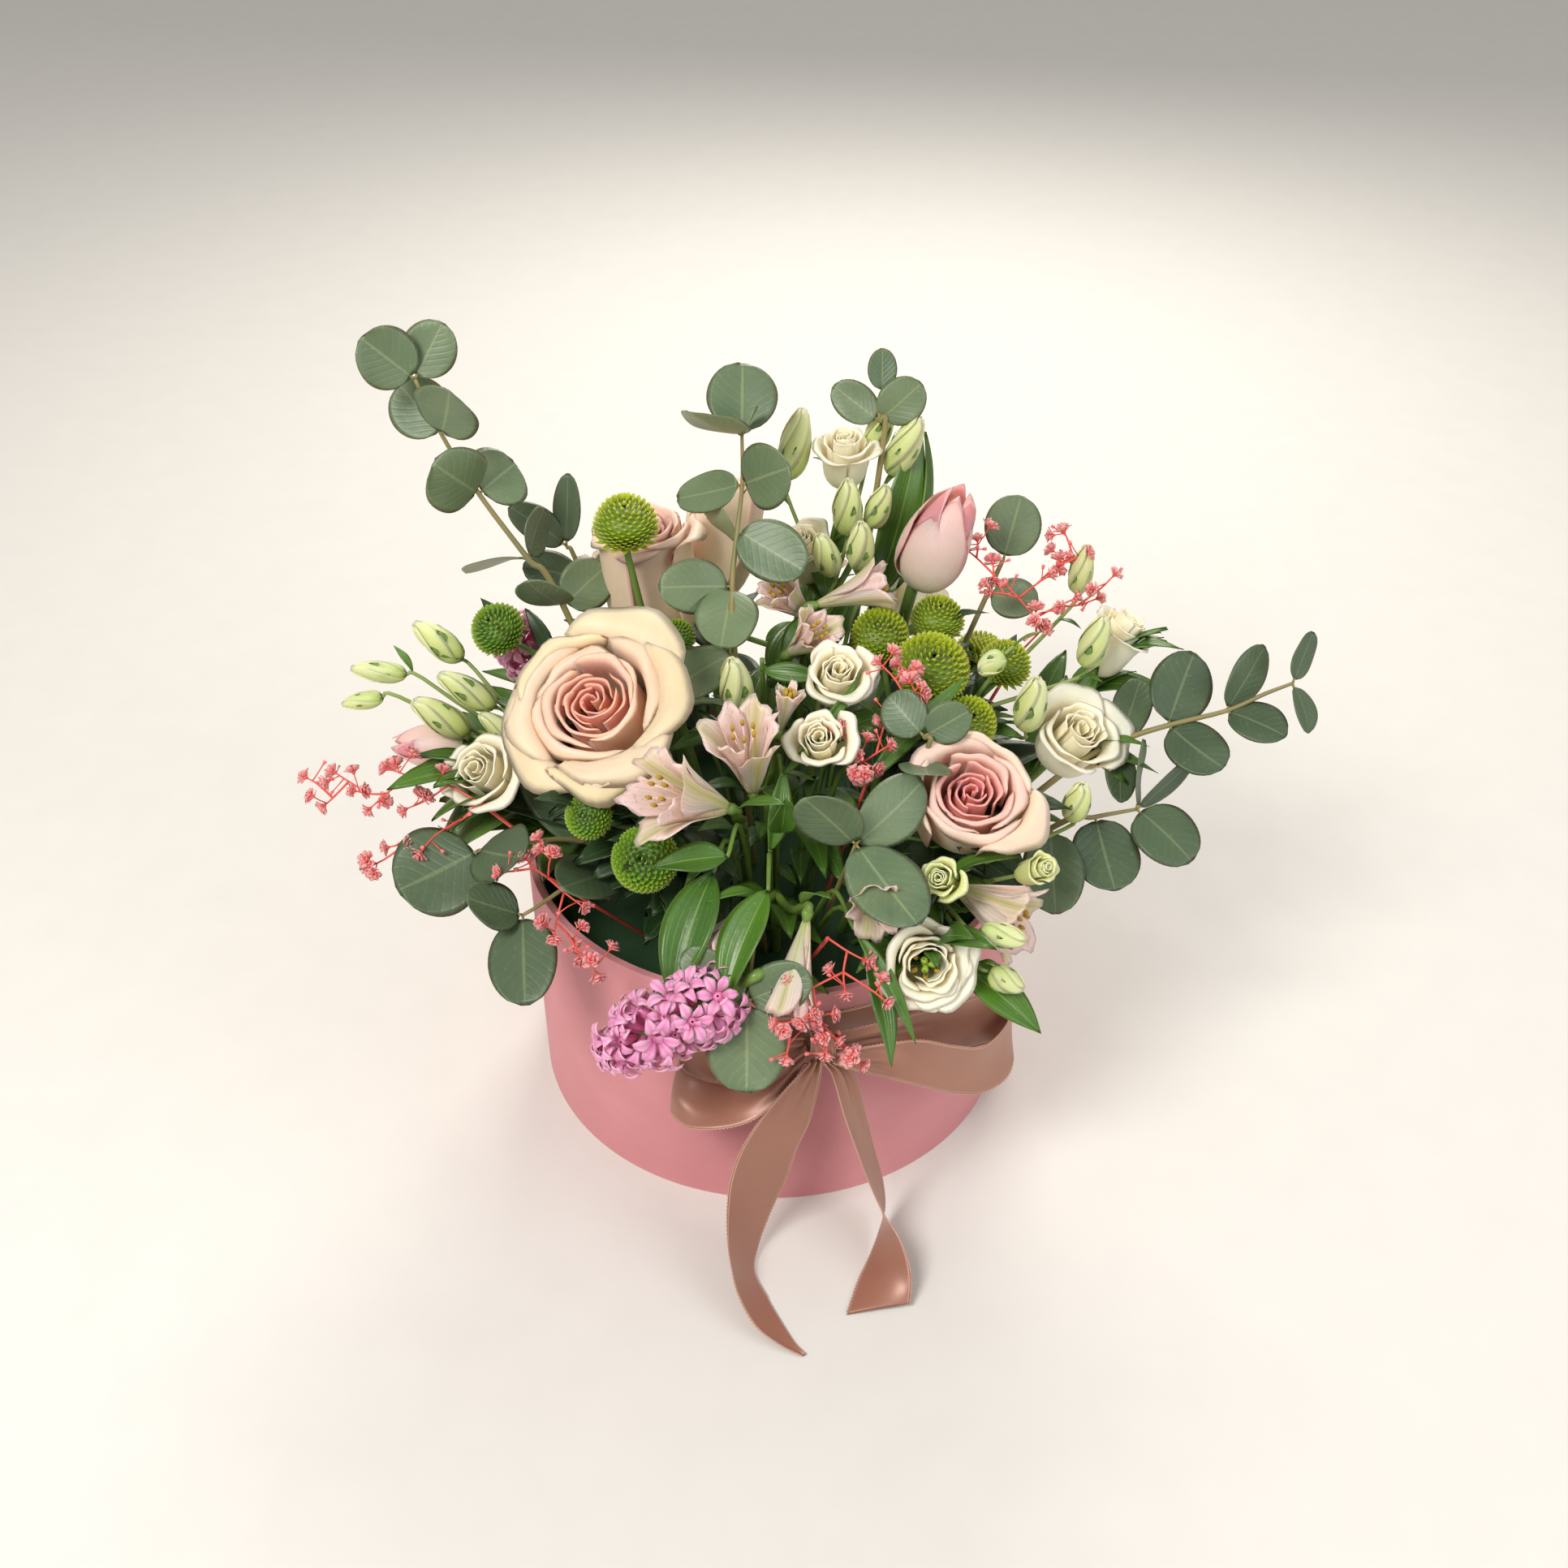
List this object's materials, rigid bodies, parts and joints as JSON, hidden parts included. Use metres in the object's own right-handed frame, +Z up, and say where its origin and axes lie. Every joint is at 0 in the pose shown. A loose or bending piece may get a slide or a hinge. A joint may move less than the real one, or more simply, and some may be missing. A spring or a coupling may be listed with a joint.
{
  "type": "flower box",
  "caption": "Round velvet box without a lid, tied with a satin ribbon bow, holding a foam insert with a dense arrangement of roses, lisianthus, greenery and sprays.",
  "frame": {"origin": "Centre of the box's underside, on the surface it stands on.", "axes": "+Z up along the box's axis, -Y is the front with the bow, +X is to the right seen from the front."},
  "size_m": [0.3978, 0.3045, 0.3089],
  "materials": {
    "lining_paper": "matte uncoated paper",
    "greyboard": "raw greyboard, 2 mm",
    "velvet": "dusty-pink short-pile velvet",
    "satin_ribbon": "rose-taupe satin with a stitched picot edge",
    "clear_film": "thin clear film",
    "wet_foam": "dark green floral foam soaked with water",
    "rose_petal": "soft matte petals, peach to cream",
    "eustoma_petal": "soft matte white petals",
    "bud_green": "pale green waxy buds",
    "santini_green": "dense lime-green florets",
    "alstroemeria_petal": "pale pink petals with green stripes",
    "hyacinth_pink": "waxy magenta-pink florets",
    "tulip_pink": "satin pale pink petals",
    "eucalyptus_leaf": "matte grey-green round leaves",
    "leaf_green": "semi-gloss green blades",
    "gypsophila_coral": "dyed coral twigs and florets"
  },
  "bodies": {
    "box": {"base_cover": "lining_paper", "bow_knot": "satin_ribbon", "bow_loop_left": "satin_ribbon", "bow_loop_right": "satin_ribbon", "box_base": "greyboard", "box_wall": "greyboard", "inner_lining": "lining_paper", "ribbon_band": "satin_ribbon", "ribbon_tail_left": "satin_ribbon", "ribbon_tail_right": "satin_ribbon", "velvet_wrap": "velvet"},
    "insert": {"alstroemeria_back": "alstroemeria_petal", "alstroemeria_front": "alstroemeria_petal", "alstroemeria_front_right": "alstroemeria_petal", "alstroemeria_left": "alstroemeria_petal", "alstroemeria_middle": "alstroemeria_petal", "eucalyptus_back": "eucalyptus_leaf", "eucalyptus_back_left": "eucalyptus_leaf", "eucalyptus_back_right": "eucalyptus_leaf", "eucalyptus_centre": "eucalyptus_leaf", "eucalyptus_front": "eucalyptus_leaf", "eucalyptus_front_left": "eucalyptus_leaf", "eucalyptus_inner": "eucalyptus_leaf", "eucalyptus_left": "eucalyptus_leaf", "eucalyptus_lower_right": "eucalyptus_leaf", "eucalyptus_over_bow": "eucalyptus_leaf", "eucalyptus_right": "eucalyptus_leaf", "eucalyptus_tall_left": "eucalyptus_leaf", "eustoma_back": "eustoma_petal", "eustoma_back_right": "eustoma_petal", "eustoma_buds_back": "bud_green", "eustoma_buds_left": "bud_green", "eustoma_buds_lower_right": "bud_green", "eustoma_buds_middle": "bud_green", "eustoma_buds_upper_right": "bud_green", "eustoma_front": "eustoma_petal", "eustoma_left": "eustoma_petal", "eustoma_middle": "eustoma_petal", "eustoma_right": "eustoma_petal", "floral_foam": "wet_foam", "foam_liner": "clear_film", "gypsophila_front": "gypsophila_coral", "gypsophila_left": "gypsophila_coral", "gypsophila_middle": "gypsophila_coral", "gypsophila_right": "gypsophila_coral", "hyacinth_front": "hyacinth_pink", "hyacinth_left": "hyacinth_pink", "leaves_collar": "leaf_green", "leaves_front": "leaf_green", "rose_back_left": "rose_petal", "rose_back_middle": "rose_petal", "rose_front_left": "rose_petal", "rose_right": "rose_petal", "santini_front": "santini_green", "santini_left": "santini_green", "santini_right": "santini_green", "santini_tall": "santini_green", "tulip_back": "tulip_pink", "tulip_leaves": "leaf_green", "tulip_left": "tulip_pink"}
  },
  "joints": [
    {"name": "insert_lift", "type": "slide", "parent": "box", "child": "insert", "axis": [0, 0, 1], "range_m": [0, 0.15]}
  ]
}
